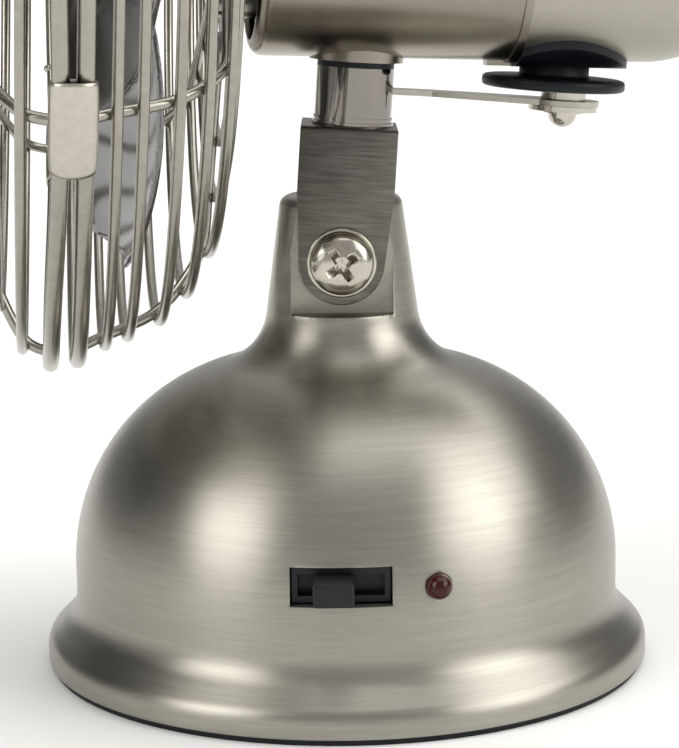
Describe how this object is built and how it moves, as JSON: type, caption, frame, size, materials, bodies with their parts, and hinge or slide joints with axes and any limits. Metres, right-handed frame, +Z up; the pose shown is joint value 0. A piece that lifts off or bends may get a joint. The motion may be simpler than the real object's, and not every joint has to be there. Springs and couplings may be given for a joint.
{
  "type": "desk fan",
  "caption": "Small metal desk fan: bell base with a slide switch, tilting yoke, swinging motor head and a round wire guard over metal blades.",
  "frame": {"origin": "centre of the underside of the base", "axes": "+Z up, the air leaves towards -Y, the switch is on the +X side of the base"},
  "size_m": [0.1835, 0.1779, 0.251],
  "materials": {
    "brushed_nickel": "circular brushed nickel plate",
    "yoke_nickel": "straight brushed nickel plate",
    "housing_nickel": "satin nickel plate",
    "rear_housing": "satin nickel plate, paler",
    "chrome_post": "polished",
    "bright_steel": "bright zinc or nickel",
    "guard_wire": "nickel plated wire",
    "blade_metal": "satin sheet",
    "black_rubber": "matt",
    "black_plastic": "fine satin",
    "white_plastic": "natural",
    "red_lens": "clear tinted, glossy",
    "bronze": "sintered, oiled",
    "copper": "enamelled winding",
    "iron": "rough",
    "laminated_steel": "laminated, oiled",
    "plain_steel": "plain"
  },
  "bodies": {
    "base": {"foot_pad": "black_rubber", "bottom_plate": "plain_steel", "ballast_weight": "iron", "base_screws": "bright_steel", "base_shell": "brushed_nickel", "switch_body": "black_plastic", "led_holder": "black_plastic", "led_lens": "red_lens", "cord_gland": "black_rubber", "terminal_block": "white_plastic", "tilt_screws": "bright_steel", "tilt_washers": "bright_steel"},
    "switch_knob": {"switch_knob": "black_plastic"},
    "yoke": {"yoke_bracket": "yoke_nickel", "pivot_post": "chrome_post", "pivot_bush": "bronze", "thrust_washer": "black_plastic", "link_anchor": "yoke_nickel", "anchor_rivet": "bright_steel"},
    "link": {"link_arm": "bright_steel"},
    "head": {"pivot_pin": "plain_steel", "pivot_washer": "bright_steel", "pivot_nut": "plain_steel", "pivot_saddle": "housing_nickel", "pivot_boss": "plain_steel", "motor_front_shell": "housing_nickel", "motor_rear_shell": "rear_housing", "motor_front_plate": "black_plastic", "motor_rear_plate": "plain_steel", "front_bearing": "bronze", "rear_bearing": "bronze", "stator_core": "laminated_steel", "stator_coils": "copper", "through_bolts": "bright_steel", "gear_frame": "plain_steel", "crank_grommet": "black_rubber", "guard_mount": "guard_wire", "guard_screws": "bright_steel", "guard_rear_rings": "guard_wire", "guard_rear_spokes": "guard_wire", "guard_front_rings": "guard_wire", "guard_front_spokes": "guard_wire", "guard_badge": "guard_wire", "guard_clips": "bright_steel"},
    "rotor": {"rotor_core": "laminated_steel", "motor_shaft": "plain_steel", "worm": "bright_steel", "fan_blades": "blade_metal", "fan_hub": "blade_metal", "hub_spinner": "blade_metal"},
    "worm_gear": {"worm_wheel": "white_plastic"},
    "crank_drive": {"crank_gear": "white_plastic", "crank_shaft": "plain_steel"},
    "crank": {"crank_disc": "black_rubber", "crank_spacer": "bright_steel", "crank_washer": "bright_steel", "crank_screw": "bright_steel"}
  },
  "joints": [
    {"name": "tilt", "type": "hinge", "parent": "base", "child": "yoke", "pos_m": [0, 0, 0.087], "axis": [-1, 0, 0], "range_deg": [-12, 20]},
    {"name": "swing", "type": "hinge", "parent": "yoke", "child": "head", "pos_m": [0, 0.00353, 0.12695], "axis": [0, 0.0732, 0.9973], "range_deg": [-42, 18]},
    {"name": "blade_spin", "type": "hinge", "parent": "head", "child": "rotor", "pos_m": [0.00682, -0.04992, 0.15759], "axis": [-0.1218, 0.9917, -0.0413], "continuous": true},
    {"name": "worm_wheel_turn", "type": "hinge", "parent": "head", "child": "worm_gear", "pos_m": [-0.01864, 0.05883, 0.15136], "axis": [0, 0.0732, 0.9973], "continuous": true},
    {"name": "crank_drive_turn", "type": "hinge", "parent": "head", "child": "crank_drive", "pos_m": [-0.00518, 0.0464, 0.13473], "axis": [0, 0.0732, 0.9973], "continuous": true},
    {"name": "crank_turn", "type": "hinge", "parent": "head", "child": "crank", "pos_m": [-0.00518, 0.04542, 0.12137], "axis": [0, 0.0732, 0.9973], "range_deg": [-30, 70]},
    {"name": "link_turn", "type": "hinge", "parent": "yoke", "child": "link", "pos_m": [-0.014, 0.00307, 0.12066], "axis": [0, 0.0732, 0.9973], "range_deg": [-40, 17]},
    {"name": "switch_slide", "type": "slide", "parent": "base", "child": "switch_knob", "axis": [0, 1, 0], "range_m": [-0.0035, 0.0055]}
  ],
  "couplings": [
    {"joint": "worm_wheel_turn", "follows": "blade_spin", "ratio": 0.033333},
    {"joint": "crank_drive_turn", "follows": "blade_spin", "ratio": -0.0055556},
    {"joint": "crank_turn", "follows": "swing", "ratio": -1.63},
    {"joint": "link_turn", "follows": "swing", "ratio": 0.912}
  ]
}
